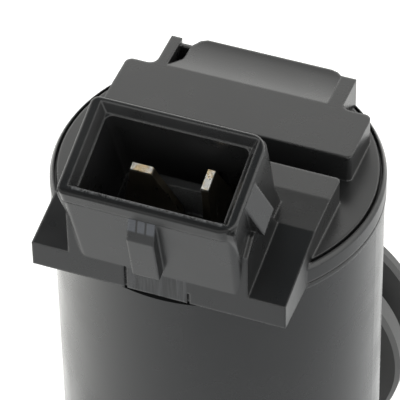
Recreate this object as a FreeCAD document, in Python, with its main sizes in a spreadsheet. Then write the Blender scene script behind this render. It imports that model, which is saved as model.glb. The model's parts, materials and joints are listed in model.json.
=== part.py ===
import FreeCAD, Part
import math
import os
import re
import Sketcher

# Windshield washer pump: a round motor housing that stands on its flat pump end, with a push-in inlet
# behind, a hose outlet at the left and a connector cap on top. +Z is up, +Y is the inlet's direction,
# and the origin is where the motor's axis meets the base.

V = FreeCAD.Vector

# Driving dimensions in millimetres, angles in degrees.
SIZES = {
    # housing
    "cap_level": 62.0,
    "can_radius": 18.0,
    "can_wall": 2.5,
    "can_drop": 3.35,
    "partition_low": 24.0,
    "partition_high": 27.0,
    "partition_bore_gap": 0.5,
    "suction_wall": 9.0,
    "suction_low": 11.0,
    "chamber_wall": 5.5,
    "cover_thickness": 3.0,
    "cover_rim": 2.9,
    "base_chamfer": 0.4,
    "fit_gap": 0.1,
    # inlet
    "inlet_height": 17.0,
    "inlet_bore": 5.0,
    "inlet_radius": 7.6,
    "inlet_lead": 2.2,
    "inlet_bead": 0.7,
    "bead_length": 1.4,
    "bead_gap": 0.3,
    "inlet_boss_radius": 9.9,
    "inlet_deep": 2.0,
    "grommet_gap": 0.6,
    "grommet_near_radius": 15.4,
    "grommet_far_radius": 16.0,
    "grommet_waist_radius": 11.0,
    "grommet_flange": 3.0,
    "grommet_slot": 3.5,
    "grommet_nose": 3.2,
    "grommet_bevel": 0.5,
    "grommet_edge": 1.4,
    "nose_wall": 2.0,
    # outlet
    "outlet_height": 7.0,
    "outlet_offset": 9.6,
    "outlet_bore": 2.2,
    "outlet_radius": 3.4,
    "outlet_barb": 4.1,
    "outlet_reach": 13.0,
    "outlet_deep": 3.0,
    "barb_first": 1.2,
    "barb_second": 6.2,
    "barb_length": 2.4,
    "barb_taper": 8.0,
    # cap
    "disc_inset": 0.65,
    "disc_thickness": 2.4,
    "ring_groove": 0.35,
    "ring_groove_depth": 0.9,
    "skirt_proud": 0.15,
    "skirt_depth": 3.2,
    "skirt_round": 0.5,
    "skirt_line": 0.25,
    "skirt_line_high": 2.4,
    "skirt_line_low": 2.62,
    "plug_clearance": 0.15,
    "plug_wall": 2.2,
    "plug_depth": 8.8,
    "plug_groove": 1.5,
    "plug_groove_high": 5.0,
    "plug_groove_low": 6.7,
    "plate_half": 14.17,
    "plate_inset": 0.06,
    "plate_lip": 0.24,
    "plate_under": 2.83,
    "plate_slit": 0.3,
    "slit_left": 3.6,
    "slit_right": 3.4,
    "ramp_back": 8.9,
    "ramp_right_rise": 2.85,
    "ramp_left_rise": 2.2,
    "step_height": 3.25,
    "step_bend": 4.14,
    "step_back": 0.76,
    "plateau_front": 2.39,
    "plateau_back": 9.52,
    "plateau_height": 3.43,
    "ear_left_outer": 10.9,
    "ear_left_inner": 9.65,
    "ear_right_inner": 8.9,
    "ear_right_outer": 10.65,
    "ear_end": 14.55,
    "scoop_left": 8.5,
    "scoop_end": 15.7,
    "scoop_corner": 1.45,
    "scoop_radius": 16.9,
    "scoop_centre": 14.17,
    "scoop_low": 2.854,
    "pocket_front": 10.0,
    "pocket_bend": 11.8,
    "pocket_wall": 0.7,
    "notch_width": 0.35,
    "notch_first": 1.8,
    "notch_second": 24.5,
    # connector socket
    "socket_tilt": 21.0,
    "rim_front": 21.0,
    "rim_height": 11.81,
    "rim_depth": 11.6,
    "rim_left": 9.75,
    "rim_right": 9.6,
    "collar_height": 2.2,
    "collar_step": 0.25,
    "front_run": 1.29,
    "front_fall": 11.9,
    "back_run": 0.8,
    "back_fall": 13.5,
    "base_left": 8.8,
    "base_right": 9.35,
    "cavity_half": 7.9,
    "cavity_front": 1.0,
    "cavity_back": 10.3,
    "cavity_depth": 14.0,
    "lead_in": 0.8,
    "lead_depth": 1.2,
    "lead_angle": 30.0,
    "root_half": 10.02,
    "root_front_high": 5.8,
    "root_top_back": 1.75,
    "root_top_high": 7.4,
    "root_ridge_back": 4.64,
    "root_ridge_high": 8.0,
    "root_bend_back": 7.24,
    "root_bend_high": 5.5,
    "root_foot_back": 9.14,
    "root_foot_high": 2.7,
    "key_left": 3.4,
    "key_right": 3.25,
    "key_front": 7.35,
    "key_back": 8.35,
    "key_top": 8.4,
    # latch wedges
    "latch_width": 3.0,
    "latch_centre": -0.7,
    "latch_proud": 1.2,
    "latch_top": 9.4,
    "latch_ramp": 7.25,
    "latch_foot": 1.1,
    "latch_rib": 0.4,
    "side_latch_from": 3.6,
    "side_latch_to": 6.7,
    "side_latch_top": 0.9,
    "side_latch_foot": 6.3,
    "side_latch_proud": 1.36,
    # blades
    "blade_left_x": 3.4,
    "blade_left_run": 6.85,
    "blade_right_x": 3.75,
    "blade_right_run": 7.35,
    "blade_tip": 4.6,
    "blade_thickness": 0.8,
    "blade_width": 6.3,
    "blade_tip_width": 2.3,
    "blade_taper": 8.0,
    "blade_end": 20.5,
    "slot_gap": 0.06,
    # motor
    "yoke_clearance": 0.2,
    "yoke_wall": 1.1,
    "yoke_foot": 28.6,
    "yoke_drop": 0.2,
    "yoke_boss": 4.3,
    "bush_radius": 3.2,
    "bush_length": 3.0,
    "shaft_radius": 1.0,
    "shaft_end": 54.6,
    "shaft_foot": 4.0,
    "shaft_bevel": 0.25,
    "run_gap": 0.05,
    "magnet_thickness": 3.4,
    "magnet_low": 31.2,
    "magnet_high": 46.2,
    "magnet_angle": 136.0,
    "core_gap": 0.5,
    "core_low": 34.2,
    "core_high": 43.2,
    "pole_half": 1.7,
    "shoe_thickness": 1.65,
    "slot_opening": 1.8,
    "slot_floor": 0.5,
    "slot_shoulder": 26.0,
    "coil_inner": 3.9,
    "coil_margin": 1.2,
    "coil_half": 3.4,
    "coil_over": 1.6,
    "commutator_radius": 3.3,
    "commutator_wall": 0.7,
    "commutator_low": 46.3,
    "commutator_high": 50.0,
    "commutator_lip": 0.6,
    "commutator_flange": 0.5,
    "segment_gap": 0.2,
    "bond_gap": 0.02,
    "segment_angle": 112.0,
    "brush_length": 4.2,
    "brush_width": 2.2,
    "brush_height": 2.4,
    "brush_gap": 0.08,
    "card_thickness": 1.6,
    "card_rim": 1.4,
    "card_lip": 0.6,
    "box_gap": 1.2,
    "box_wall": 0.9,
    "box_lift": 0.3,
    "spring_thickness": 0.4,
    "spring_tail": 3.0,
    "spring_half": 1.0,
    "lead_radius": 0.5,
    "lead_gap": 0.25,
    "washer_thickness": 0.4,
    "washer_radius": 2.3,
    # impeller and seals
    "impeller_gap": 2.0,
    "impeller_low": 3.6,
    "impeller_plate": 1.0,
    "impeller_high": 8.9,
    "impeller_hub": 2.6,
    "vane_thickness": 0.9,
    "vane_sweep": 46.0,
    "vane_lean": 30.0,
    "hub_foot": 0.6,
    "eye_radius": 4.2,
    "eye_thickness": 1.5,
    "eye_lip": 0.4,
    "seal_radius": 5.0,
    "seal_depth": 2.0,
    "seal_edge": 0.6,
    "seal_lip": 1.6,
    "seal_web": 0.9,
    "retainer_gap": 1.2,
    "retainer_lap": 1.4,
    "retainer_thickness": 0.6,
    "ring_section": 0.75,
    "cover_ring_section": 0.6,
    "cover_ring_inset": 1.3,
    # rounded edges
    "socket_round": 0.95,
    "rim_corner_left": 0.9,
    "rim_corner_right": 1.8,
    "rim_round": 0.3,
    "cavity_round": 0.8,
    "step_round": 0.45,
    "corner_round": 0.8,
    "ear_round": 1.0,
}

doc = FreeCAD.newDocument("washer_pump")
sheet = doc.addObject("Spreadsheet::Sheet", "Sizes")
for row, (alias, value) in enumerate(SIZES.items(), start=1):
    sheet.set("A%d" % row, alias)
    sheet.set("B%d" % row, str(value))
    sheet.setAlias("B%d" % row, alias)
doc.recompute()

NODES = []


def tied(text):
    """An expression in which every size name points to its cell."""
    return re.sub(r"[a-z][a-z_]*", lambda word: "Sizes." + word.group()
                  if word.group() in SIZES else word.group(), text)


def number(text):
    """The value of an expression now."""
    return float(sheet.evalExpression(tied(text)))


def bind(thing, prop, text):
    thing.setExpression(prop, tied(text))


def new_body(label):
    body = doc.addObject("PartDesign::Body", label)
    body.Label = label
    NODES.append(body)
    return body


def origin_plane(body, role):
    return [part for part in body.Origin.OriginFeatures if part.Role == role][0]


def new_sketch(body, name, role, lift="0", tilt=None):
    """A sketch on one of the body's origin planes, lifted along its normal or set on the tilted socket."""
    sketch = body.newObject("Sketcher::SketchObject", name)
    sketch.AttachmentSupport = (origin_plane(body, role), [""])
    sketch.MapMode = "FlatFace"
    if tilt is None:
        bind(sketch, "AttachmentOffset.Base.z", lift)
        return sketch
    along, turn = tilt
    sketch.AttachmentOffset = FreeCAD.Placement(V(0, 0, 0), FreeCAD.Rotation(V(1, 0, 0), number(turn)))
    bind(sketch, "AttachmentOffset.Rotation.Angle", turn)
    bind(sketch, "AttachmentOffset.Base.y", along[0])
    bind(sketch, "AttachmentOffset.Base.z", along[1])
    return sketch


def add_outline(sketch, points):
    """A closed outline of straight lines, each corner tied to the sizes."""
    corners = [V(number(x), number(y), 0) for x, y in points]
    first = sketch.GeometryCount
    count = len(corners)
    sketch.addGeometry([Part.LineSegment(corners[i], corners[(i + 1) % count]) for i in range(count)], False)
    for i in range(count):
        sketch.addConstraint(Sketcher.Constraint("Coincident", first + i, 2, first + (i + 1) % count, 1))
    for i, (x, y) in enumerate(points):
        for kind, text, at in (("DistanceX", x, corners[i].x), ("DistanceY", y, corners[i].y)):
            index = sketch.addConstraint(Sketcher.Constraint(kind, -1, 1, first + i, 1, at))
            sketch.setExpression("Constraints[%d]" % index, tied(text))
    return sketch


def add_circle(sketch, x, y, radius):
    """A circle tied to the sizes."""
    index = sketch.addGeometry(Part.Circle(V(number(x), number(y), 0), V(0, 0, 1), number(radius)), False)
    for kind, text in (("DistanceX", x), ("DistanceY", y)):
        place = sketch.addConstraint(Sketcher.Constraint(kind, -1, 1, index, 3, number(text)))
        sketch.setExpression("Constraints[%d]" % place, tied(text))
    place = sketch.addConstraint(Sketcher.Constraint("Radius", index, number(radius)))
    sketch.setExpression("Constraints[%d]" % place, tied(radius))
    return sketch


def add_rounded_box(sketch, x0, x1, y0, y1, left, right):
    """A rectangle whose left and right corners are rounded by their own radius."""
    ends = [("(%s) + (%s)" % (x0, left), y0), ("(%s) - (%s)" % (x1, right), y0),
            (x1, "(%s) + (%s)" % (y0, right)), (x1, "(%s) - (%s)" % (y1, right)),
            ("(%s) - (%s)" % (x1, right), y1), ("(%s) + (%s)" % (x0, left), y1),
            (x0, "(%s) - (%s)" % (y1, left)), (x0, "(%s) + (%s)" % (y0, left))]
    spots = [V(number(x), number(y), 0) for x, y in ends]
    sketch.addGeometry([Part.LineSegment(spots[i], spots[i + 1]) for i in (0, 2, 4, 6)], False)
    for line in range(4):
        for end in (1, 2):
            at = 2 * line + end - 1
            for kind, text, place in (("DistanceX", ends[at][0], spots[at].x),
                                      ("DistanceY", ends[at][1], spots[at].y)):
                index = sketch.addConstraint(Sketcher.Constraint(kind, -1, 1, line, end, place))
                sketch.setExpression("Constraints[%d]" % index, tied(text))
    turns = ((x1, y0, -1, 1, right, -90), (x1, y1, -1, -1, right, 0), (x0, y1, 1, -1, left, 90),
             (x0, y0, 1, 1, left, 180))
    for line, (x, y, to_x, to_y, size, start) in enumerate(turns):
        middle = V(number(x) + to_x * number(size), number(y) + to_y * number(size), 0)
        circle = Part.Circle(middle, V(0, 0, 1), number(size))
        arc = sketch.addGeometry(Part.ArcOfCircle(circle, math.radians(start), math.radians(start + 90)), False)
        sketch.addConstraint(Sketcher.Constraint("Coincident", arc, 1, line, 2))
        sketch.addConstraint(Sketcher.Constraint("Coincident", arc, 2, (line + 1) % 4, 1))
        index = sketch.addConstraint(Sketcher.Constraint("Radius", arc, number(size)))
        sketch.setExpression("Constraints[%d]" % index, tied(size))
    return sketch


def box_points(x0, x1, y0, y1):
    return [(x0, y0), (x1, y0), (x1, y1), (x0, y1)]


def pad(body, sketch, length, reverse=False):
    feature = body.newObject("PartDesign::Pad", "Pad")
    feature.Profile = sketch
    feature.Reversed = reverse
    bind(feature, "Length", length)
    sketch.Visibility = False
    return feature


def pocket(body, sketch, length, reverse=False):
    feature = body.newObject("PartDesign::Pocket", "Pocket")
    feature.Profile = sketch
    feature.Reversed = reverse
    bind(feature, "Length", length)
    sketch.Visibility = False
    return feature


def revolve(body, sketch, kind="PartDesign::Revolution", angle=None):
    feature = body.newObject(kind, "Turned")
    feature.Profile = sketch
    feature.ReferenceAxis = (sketch, ["V_Axis"])
    if angle is None:
        feature.Angle = 360
    else:
        feature.Midplane = True
        bind(feature, "Angle", angle)
    return feature


def round_edges(body, size, *points):
    """Rounds the edges that run through these points."""
    doc.recompute()
    solid = body.Tip
    names = set()
    for point in points:
        spot = Part.Vertex(V(*[number(text) for text in point]))
        gaps = [edge.distToShape(spot)[0] for edge in solid.Shape.Edges]
        names.add("Edge%d" % (gaps.index(min(gaps)) + 1))
    feature = body.newObject("PartDesign::Fillet", "Rounding")
    feature.Base = (solid, sorted(names))
    bind(feature, "Radius", size)
    return feature


def polar(body, feature, count):
    pattern = body.newObject("PartDesign::PolarPattern", "Pattern")
    pattern.Originals = [feature]
    pattern.Axis = ([part for part in body.Origin.OriginFeatures if part.Role == "Z_Axis"][0], [""])
    pattern.Angle = 360
    pattern.Occurrences = count
    body.Tip = pattern
    return pattern


def turned(label, points, angle=None):
    """A piece turned about the motor's axis from its half section."""
    body = new_body(label)
    sketch = new_sketch(body, label + "_section", "XZ_Plane")
    add_outline(sketch, points)
    revolve(body, sketch, angle=angle)
    return body


def plain_box(label, x0, x1, y0, y1, z0, z1):
    """A plain block between tied planes, as a Part primitive."""
    block = doc.addObject("Part::Box", label)
    block.Label = label
    for prop, low, high in (("Length", x0, x1), ("Width", y0, y1), ("Height", z0, z1)):
        bind(block, prop, "(%s) - (%s)" % (high, low))
    for axis, low in (("x", x0), ("y", y0), ("z", z0)):
        bind(block, "Placement.Base." + axis, low)
    return block


# Places that several pieces share.
CAN_TOP = "(cap_level - can_drop)"
CAN_INNER = "(can_radius - can_wall)"
PLUG_RADIUS = "(can_radius - can_wall - plug_clearance)"
YOKE_RADIUS = "(can_radius - can_wall - yoke_clearance)"
YOKE_INNER = "(can_radius - can_wall - yoke_clearance - yoke_wall)"
MAGNET_OUTER = "(can_radius - can_wall - yoke_clearance - yoke_wall - run_gap)"
MAGNET_INNER = "(can_radius - can_wall - yoke_clearance - yoke_wall - run_gap - magnet_thickness)"
CORE_RADIUS = "(can_radius - can_wall - yoke_clearance - yoke_wall - run_gap - magnet_thickness - core_gap)"
BORE_RADIUS = "(shaft_radius + run_gap)"
DISC_RADIUS = "(can_radius - disc_inset)"
SKIRT_RADIUS = "(can_radius + skirt_proud)"
PLATE_FRONT = "(can_radius - plate_inset)"
CHAMBER_RADIUS = "(can_radius - chamber_wall)"
COVER_RADIUS = "(can_radius - cover_rim)"
COVER_RING_RADIUS = "(can_radius - cover_rim - cover_ring_inset)"
IMPELLER_RADIUS = "(can_radius - chamber_wall - impeller_gap)"
YOKE_TOP = "(cap_level - plug_depth - yoke_drop)"
GROMMET_FACE = "(can_radius + grommet_gap)"
GROMMET_SLOT = "(can_radius + grommet_gap + grommet_flange)"
GROMMET_FAR = "(can_radius + grommet_gap + grommet_flange + grommet_slot)"
GROMMET_BACK = "(can_radius + grommet_gap + 2 * grommet_flange + grommet_slot)"
GROMMET_END = "(can_radius + grommet_gap + 2 * grommet_flange + grommet_slot + grommet_nose)"
INLET_END = "(can_radius + grommet_gap + 2 * grommet_flange + grommet_slot + grommet_nose + inlet_lead)"
OUTLET_END = "(can_radius + outlet_reach)"


def rim_plane(fall):
    """The tilted plane at a depth below the socket's rim."""
    return ("-rim_front + (%s) * sin(socket_tilt)" % fall,
            "cap_level + rim_height - (%s) * cos(socket_tilt)" % fall)


def socket_point(run, fall):
    """A point of the socket's side profile, from its run across the rim and its fall below the rim."""
    return ("-rim_front + (%s) * cos(socket_tilt) + (%s) * sin(socket_tilt)" % (run, fall),
            "cap_level + rim_height + (%s) * sin(socket_tilt) - (%s) * cos(socket_tilt)" % (run, fall))


def side_pad(body, name, points, x0, x1):
    """A pad of a side profile between two planes across the pump."""
    sketch = new_sketch(body, name, "YZ_Plane", lift=x0)
    add_outline(sketch, points)
    return pad(body, sketch, "(%s) - (%s)" % (x1, x0))


def across_socket(body, name, run):
    """A sketch that stands across the tilted socket, at a run behind the rim's front, with Y up the socket."""
    sketch = new_sketch(body, name, "XZ_Plane")
    turn = FreeCAD.Rotation(V(1, 0, 0), number("socket_tilt"))
    sketch.AttachmentOffset = FreeCAD.Placement(V(0, 0, 0), turn)
    bind(sketch, "AttachmentOffset.Rotation.Angle", "socket_tilt")
    bind(sketch, "AttachmentOffset.Base.y", "cap_level + rim_height + (%s) * sin(socket_tilt)" % run)
    bind(sketch, "AttachmentOffset.Base.z", "rim_front - (%s) * cos(socket_tilt)" % run)
    return sketch


def front_run_at(fall):
    """How far behind the rim's front the socket's front face lies at a fall below the rim."""
    lean = "(front_run + collar_step) / (front_fall - collar_height)"
    return "(collar_step - ((%s) - collar_height) * %s)" % (fall, lean)


def back_run_at(fall):
    """The same for the socket's back face."""
    return "(rim_depth - collar_step + (collar_step - back_run) * (%s) / back_fall)" % fall


def side_at(sign, fall):
    """The socket's tapered side at a fall below the rim: -1 is the left side and 1 the right side."""
    top, foot = ("rim_left", "base_left") if sign < 0 else ("rim_right", "base_right")
    return "%d * (%s + (%s - %s) * ((%s) - collar_height) / front_fall)" % (sign, top, foot, top, fall)


def socket_block(body):
    """The solid block of the tilted socket: tapered body, a collar at the rim and rounded corners."""
    side_pad(body, "socket_profile", [
        socket_point("-front_run", "front_fall"), socket_point("collar_step", "collar_height"),
        socket_point("collar_step", "collar_height / 4"),
        socket_point("rim_depth - collar_step", "collar_height / 4"),
        socket_point("rim_depth - back_run", "back_fall"), ("-step_bend", "cap_level - disc_thickness / 4"),
        ("-%s + plate_lip" % PLATE_FRONT, "cap_level - disc_thickness / 4")], "-rim_left", "rim_right")
    deep = "(front_fall + rim_depth)"
    for sign in (-1, 1):
        outer = "%d * (rim_left + rim_right)" % sign
        cut = across_socket(body, "side_taper", "0")
        add_outline(cut, [(side_at(sign, "collar_height"), "-collar_height"), (side_at(sign, deep), "-" + deep),
                          (outer, "-" + deep), (outer, "-collar_height")])
        pocket(body, cut, "4 * rim_depth").Midplane = True
    middle = "front_fall / 2"
    for sign in (-1, 1):
        round_edges(body, "socket_round", (side_at(sign, middle), *socket_point(front_run_at(middle), middle)),
                    (side_at(sign, middle), *socket_point(back_run_at(middle), middle)))
    collar = new_sketch(body, "collar", "XY_Plane", tilt=(rim_plane("collar_height"), "socket_tilt"))
    add_rounded_box(collar, "-rim_left", "rim_right", "0", "rim_depth", "rim_corner_left", "rim_corner_right")
    pad(body, collar, "collar_height")
    round_edges(body, "rim_round", ("0", *socket_point("0", "0")))


def cap_disc(body):
    """The round cap with its skirt and the plug that reaches into the housing."""
    section = new_sketch(body, "cap_section", "XZ_Plane")
    rim_low = "cap_level - skirt_round / 5"
    inside = PLUG_RADIUS + " - plug_wall"
    groove = PLUG_RADIUS + " - plug_groove"
    add_outline(section, [
        ("0", "cap_level"), (DISC_RADIUS, "cap_level"), (DISC_RADIUS, "cap_level - ring_groove_depth"),
        (DISC_RADIUS + " + ring_groove", "cap_level - ring_groove_depth"),
        (DISC_RADIUS + " + ring_groove", rim_low), (SKIRT_RADIUS + " - skirt_round * 0.6", rim_low),
        (SKIRT_RADIUS, rim_low + " - skirt_round"), (SKIRT_RADIUS, "cap_level - skirt_line_high"),
        (SKIRT_RADIUS + " - skirt_line", "cap_level - skirt_line_high"),
        (SKIRT_RADIUS + " - skirt_line", "cap_level - skirt_line_low"),
        (SKIRT_RADIUS, "cap_level - skirt_line_low"), (SKIRT_RADIUS, "cap_level - skirt_depth"),
        (PLUG_RADIUS, "cap_level - skirt_depth"), (PLUG_RADIUS, "cap_level - plug_groove_high"),
        (groove, "cap_level - plug_groove_high"), (groove, "cap_level - plug_groove_low"),
        (PLUG_RADIUS, "cap_level - plug_groove_low"), (PLUG_RADIUS, "cap_level - plug_depth"),
        (inside, "cap_level - plug_depth"), (inside, "cap_level - disc_thickness"),
        ("0", "cap_level - disc_thickness")])
    revolve(body, section)


def flange_plate(body):
    """The plate in front: its top slopes up to the step at the right and to a lower one at the left."""
    deep = "cap_level - disc_thickness / 2"
    for name, x0, x1, rise, top in (("plate_right", "0", "plate_half", "ramp_right_rise", "step_height"),
                                    ("plate_left", "-plate_half", "0", "ramp_left_rise", "ramp_left_rise")):
        side_pad(body, name, [
            ("-" + PLATE_FRONT, "cap_level - plate_under"), ("-" + PLATE_FRONT, "cap_level + plate_lip"),
            ("-ramp_back", "cap_level + %s" % rise), ("-step_bend", "cap_level + %s" % top),
            ("-step_back", "cap_level + %s" % top), ("-step_back", deep), ("-ramp_back", deep),
            ("-ramp_back", "cap_level - plate_under")], x0, x1)
    side_pad(body, "socket_root", [
        ("-" + PLATE_FRONT, deep), ("-" + PLATE_FRONT, "cap_level + root_front_high"),
        ("-%s + root_top_back" % PLATE_FRONT, "cap_level + root_top_high"),
        ("-%s + root_ridge_back" % PLATE_FRONT, "cap_level + root_ridge_high"),
        ("-%s + root_bend_back" % PLATE_FRONT, "cap_level + root_bend_high"),
        ("-%s + root_foot_back" % PLATE_FRONT, "cap_level + root_foot_high"),
        ("-%s + root_foot_back" % PLATE_FRONT, deep)], "-root_half", "root_half")


def plateau(body):
    """The plateau with its two ears, and the shallow scoop between them."""
    low = "cap_level - disc_thickness / 4"
    high = "plateau_height + disc_thickness / 4"
    inside = "plateau_back - plateau_height / 4"
    for name, points, height in (
            ("plateau", box_points("-plate_half", "plate_half", "plateau_front", "plateau_back"), high),
            ("ear_left", box_points("-ear_left_outer", "-ear_left_inner", inside, "ear_end"), high),
            ("ear_right", box_points("ear_right_inner", "ear_right_outer", inside, "ear_end"), high),
            ("ear_link", box_points("-ear_left_inner", "-scoop_left", inside,
                                    "ear_end - pocket_wall / 4"), high),
            ("scoop_block", [
                ("-scoop_left", inside), ("ear_right_inner", inside),
                ("ear_right_inner", "scoop_end - scoop_corner / 2"),
                ("ear_right_inner - scoop_corner / 2", "scoop_end - scoop_corner / 8"),
                ("ear_right_inner - scoop_corner", "scoop_end"), ("-scoop_left + scoop_corner", "scoop_end"),
                ("-scoop_left + scoop_corner / 2", "scoop_end - scoop_corner / 4"),
                ("-scoop_left", "scoop_end - scoop_corner")], high)):
        sketch = new_sketch(body, name, "XY_Plane", lift=low)
        add_outline(sketch, points)
        pad(body, sketch, height)
    top = "cap_level + plateau_height / 2"
    round_edges(body, "ear_round", ("-ear_left_outer", "plateau_back", top),
                ("ear_right_outer", "plateau_back", top))
    round_edges(body, "corner_round", ("-plate_half", "plateau_back", top), ("plate_half", "plateau_back", top))
    round_edges(body, "step_round", ("plate_half", "plateau_front", top), ("plate_half", "-step_back", top))
    hollow = new_sketch(body, "scoop_hollow", "YZ_Plane", lift="ear_right_inner")
    add_circle(hollow, "scoop_centre", "cap_level + scoop_low + scoop_radius", "scoop_radius")
    pocket(body, hollow, "ear_right_inner + ear_left_inner")
    well = new_sketch(body, "ear_pocket", "XY_Plane", lift="cap_level + plateau_height")
    add_outline(well, [("-ear_left_inner", "pocket_front"), ("-scoop_left", "pocket_bend"),
                       ("-scoop_left", "ear_end - pocket_wall"), ("-ear_left_inner", "ear_end - pocket_wall")])
    pocket(body, well, "plateau_height")


def slits(body):
    """The skirt ends at the plate's front. Narrow slits part the snap tongues and the plate's front."""
    trim = new_sketch(body, "front_trim", "XY_Plane", lift="cap_level + fit_gap")
    add_outline(trim, box_points("-plate_half", "plate_half", "-%s - skirt_depth" % PLATE_FRONT,
                                 "-" + PLATE_FRONT))
    pocket(body, trim, "skirt_depth + 1")
    under = new_sketch(body, "front_lens", "XY_Plane", lift="cap_level - plate_under")
    add_outline(under, box_points("-ramp_back", "ramp_back", "-%s - skirt_depth" % PLATE_FRONT,
                                  "-%s + plug_clearance + can_wall" % PLATE_FRONT))
    pocket(body, under, "skirt_depth - plate_under")
    for sign, angle in ((1, "notch_first"), (1, "notch_second"), (-1, "notch_first"), (-1, "notch_second")):
        notch = new_sketch(body, "tongue_slit", "XY_Plane", lift="cap_level + fit_gap")
        inner = DISC_RADIUS + " - 2 * ring_groove"
        outer = SKIRT_RADIUS + " + ring_groove_depth"
        points = []
        for reach, side in ((inner, -1), (outer, -1), (outer, 1), (inner, 1)):
            half = "%d * notch_width / 2" % side
            points.append(("%d * (%s * cos(%s) + %s * sin(%s))" % (sign, reach, angle, half, angle),
                           "%s * cos(%s) - %s * sin(%s)" % (half, angle, reach, angle)))
        add_outline(notch, points)
        pocket(body, notch, "skirt_line_low")
    for name, place, high in (("slit_left", "-slit_left", "plate_lip"),
                              ("slit_right", "slit_right", "-plate_under / 2")):
        slit = new_sketch(body, name, "YZ_Plane", lift="%s + plate_slit / 2" % place)
        add_outline(slit, box_points("-" + PLATE_FRONT, "-%s + plate_slit" % PLATE_FRONT,
                                     "cap_level - plate_under", "cap_level + " + high))
        pocket(body, slit, "plate_slit")


def proud_of_front(fall, proud):
    """A point that stands off the socket's front face."""
    return socket_point("%s - %s" % (front_run_at(fall), proud), fall)


def latches(body):
    """The front latch wedge with its ribbed lead-in, and a wedge on each side wall."""
    top, ramp, foot = ("(front_fall - %s)" % level for level in ("latch_top", "latch_ramp", "latch_foot"))
    left, right = "latch_centre - latch_width / 2", "latch_centre + latch_width / 2"
    side_pad(body, "front_latch", [
        proud_of_front(top, "-latch_rib"), proud_of_front(top, "0"), proud_of_front(ramp, "latch_proud"),
        proud_of_front(foot, "latch_proud"), proud_of_front(foot, "-latch_rib")], left, right)
    for name, sign, rim in (("right_latch", 1, "rim_right"), ("left_latch", -1, "rim_left")):
        latch = across_socket(body, name, "side_latch_to")
        inner = "%d * (%s - side_latch_proud)" % (sign, rim)
        add_outline(latch, [(inner, "-side_latch_top"), ("%d * %s" % (sign, rim), "-side_latch_top"),
                            ("%d * (%s + side_latch_proud)" % (sign, rim), "-side_latch_foot"),
                            (inner, "-side_latch_foot")])
        pad(body, latch, "side_latch_to - side_latch_from")


def socket_hollow(body):
    """The socket's cavity with its lead-in, the wall between the blades and the slots for them."""
    cavity = new_sketch(body, "cavity", "XY_Plane", tilt=(rim_plane("-1"), "socket_tilt"))
    add_outline(cavity, box_points("-cavity_half", "cavity_half", "cavity_front", "cavity_back"))
    pocket(body, cavity, "cavity_depth + 1")
    middle = "cavity_depth / 2"
    corners = [("%d * cavity_half" % sign, *socket_point(run, middle))
               for sign in (-1, 1) for run in ("cavity_front", "cavity_back")]
    round_edges(body, "cavity_round", *corners)
    mouth = new_sketch(body, "lead_in", "XY_Plane", tilt=(rim_plane("0"), "socket_tilt"))
    add_outline(mouth, box_points("-cavity_half - lead_in", "cavity_half + lead_in",
                                  "cavity_front", "cavity_back + lead_in"))
    slope = pocket(body, mouth, "lead_depth")
    bind(slope, "TaperAngle", "-lead_angle")
    wall = new_sketch(body, "coding_wall", "XY_Plane",
                      tilt=(rim_plane("cavity_depth + disc_thickness / 4"), "socket_tilt"))
    add_outline(wall, box_points("-key_left", "key_right", "key_front", "key_back"))
    pad(body, wall, "cavity_depth + disc_thickness / 4 - key_top")
    flat, edge = "blade_width / 2 + slot_gap", "blade_thickness / 2 + slot_gap"
    for name, x, run, half_x, half_run in (("slot_left", "-blade_left_x", "blade_left_run", flat, edge),
                                           ("slot_right", "blade_right_x", "blade_right_run", edge, flat)):
        slot = new_sketch(body, name, "XY_Plane", tilt=(rim_plane("blade_tip + blade_taper / 2"), "socket_tilt"))
        add_outline(slot, box_points("%s - (%s)" % (x, half_x), "%s + (%s)" % (x, half_x),
                                     "%s - (%s)" % (run, half_run), "%s + (%s)" % (run, half_run)))
        pocket(body, slot, "blade_end")


def connector_cap():
    """The moulded cap: disc and skirt, flange plate, stepped block, plateau, ears, scoop and socket."""
    body = new_body("connector_cap")
    socket_block(body)
    cap_disc(body)
    flange_plate(body)
    plateau(body)
    slits(body)
    latches(body)
    socket_hollow(body)
    return body


def blade(label, across):
    """A flat contact blade in the socket's tilted frame: straight foot, long taper, narrow tip."""
    body = new_body(label)
    half, tip = "blade_width / 2", "blade_tip_width / 2"
    taper = "blade_tip + blade_taper"
    if across:
        x, run = "-blade_left_x", "blade_left_run + blade_thickness / 2"
        sketch = across_socket(body, label + "_face", run)
        add_outline(sketch, [("%s - %s" % (x, half), "-blade_end"), ("%s + %s" % (x, half), "-blade_end"),
                             ("%s + %s" % (x, half), "-(%s)" % taper), ("%s + %s" % (x, tip), "-blade_tip"),
                             ("%s - %s" % (x, tip), "-blade_tip"), ("%s - %s" % (x, half), "-(%s)" % taper)])
    else:
        sketch = new_sketch(body, label + "_face", "YZ_Plane", lift="blade_right_x - blade_thickness / 2")
        run = "blade_right_run"
        add_outline(sketch, [socket_point("%s + %s" % (run, half), "blade_end"),
                             socket_point("%s + %s" % (run, half), taper),
                             socket_point("%s + %s" % (run, tip), "blade_tip"),
                             socket_point("%s - %s" % (run, tip), "blade_tip"),
                             socket_point("%s - %s" % (run, half), taper),
                             socket_point("%s - %s" % (run, half), "blade_end")])
    pad(body, sketch, "blade_thickness")
    return body


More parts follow.
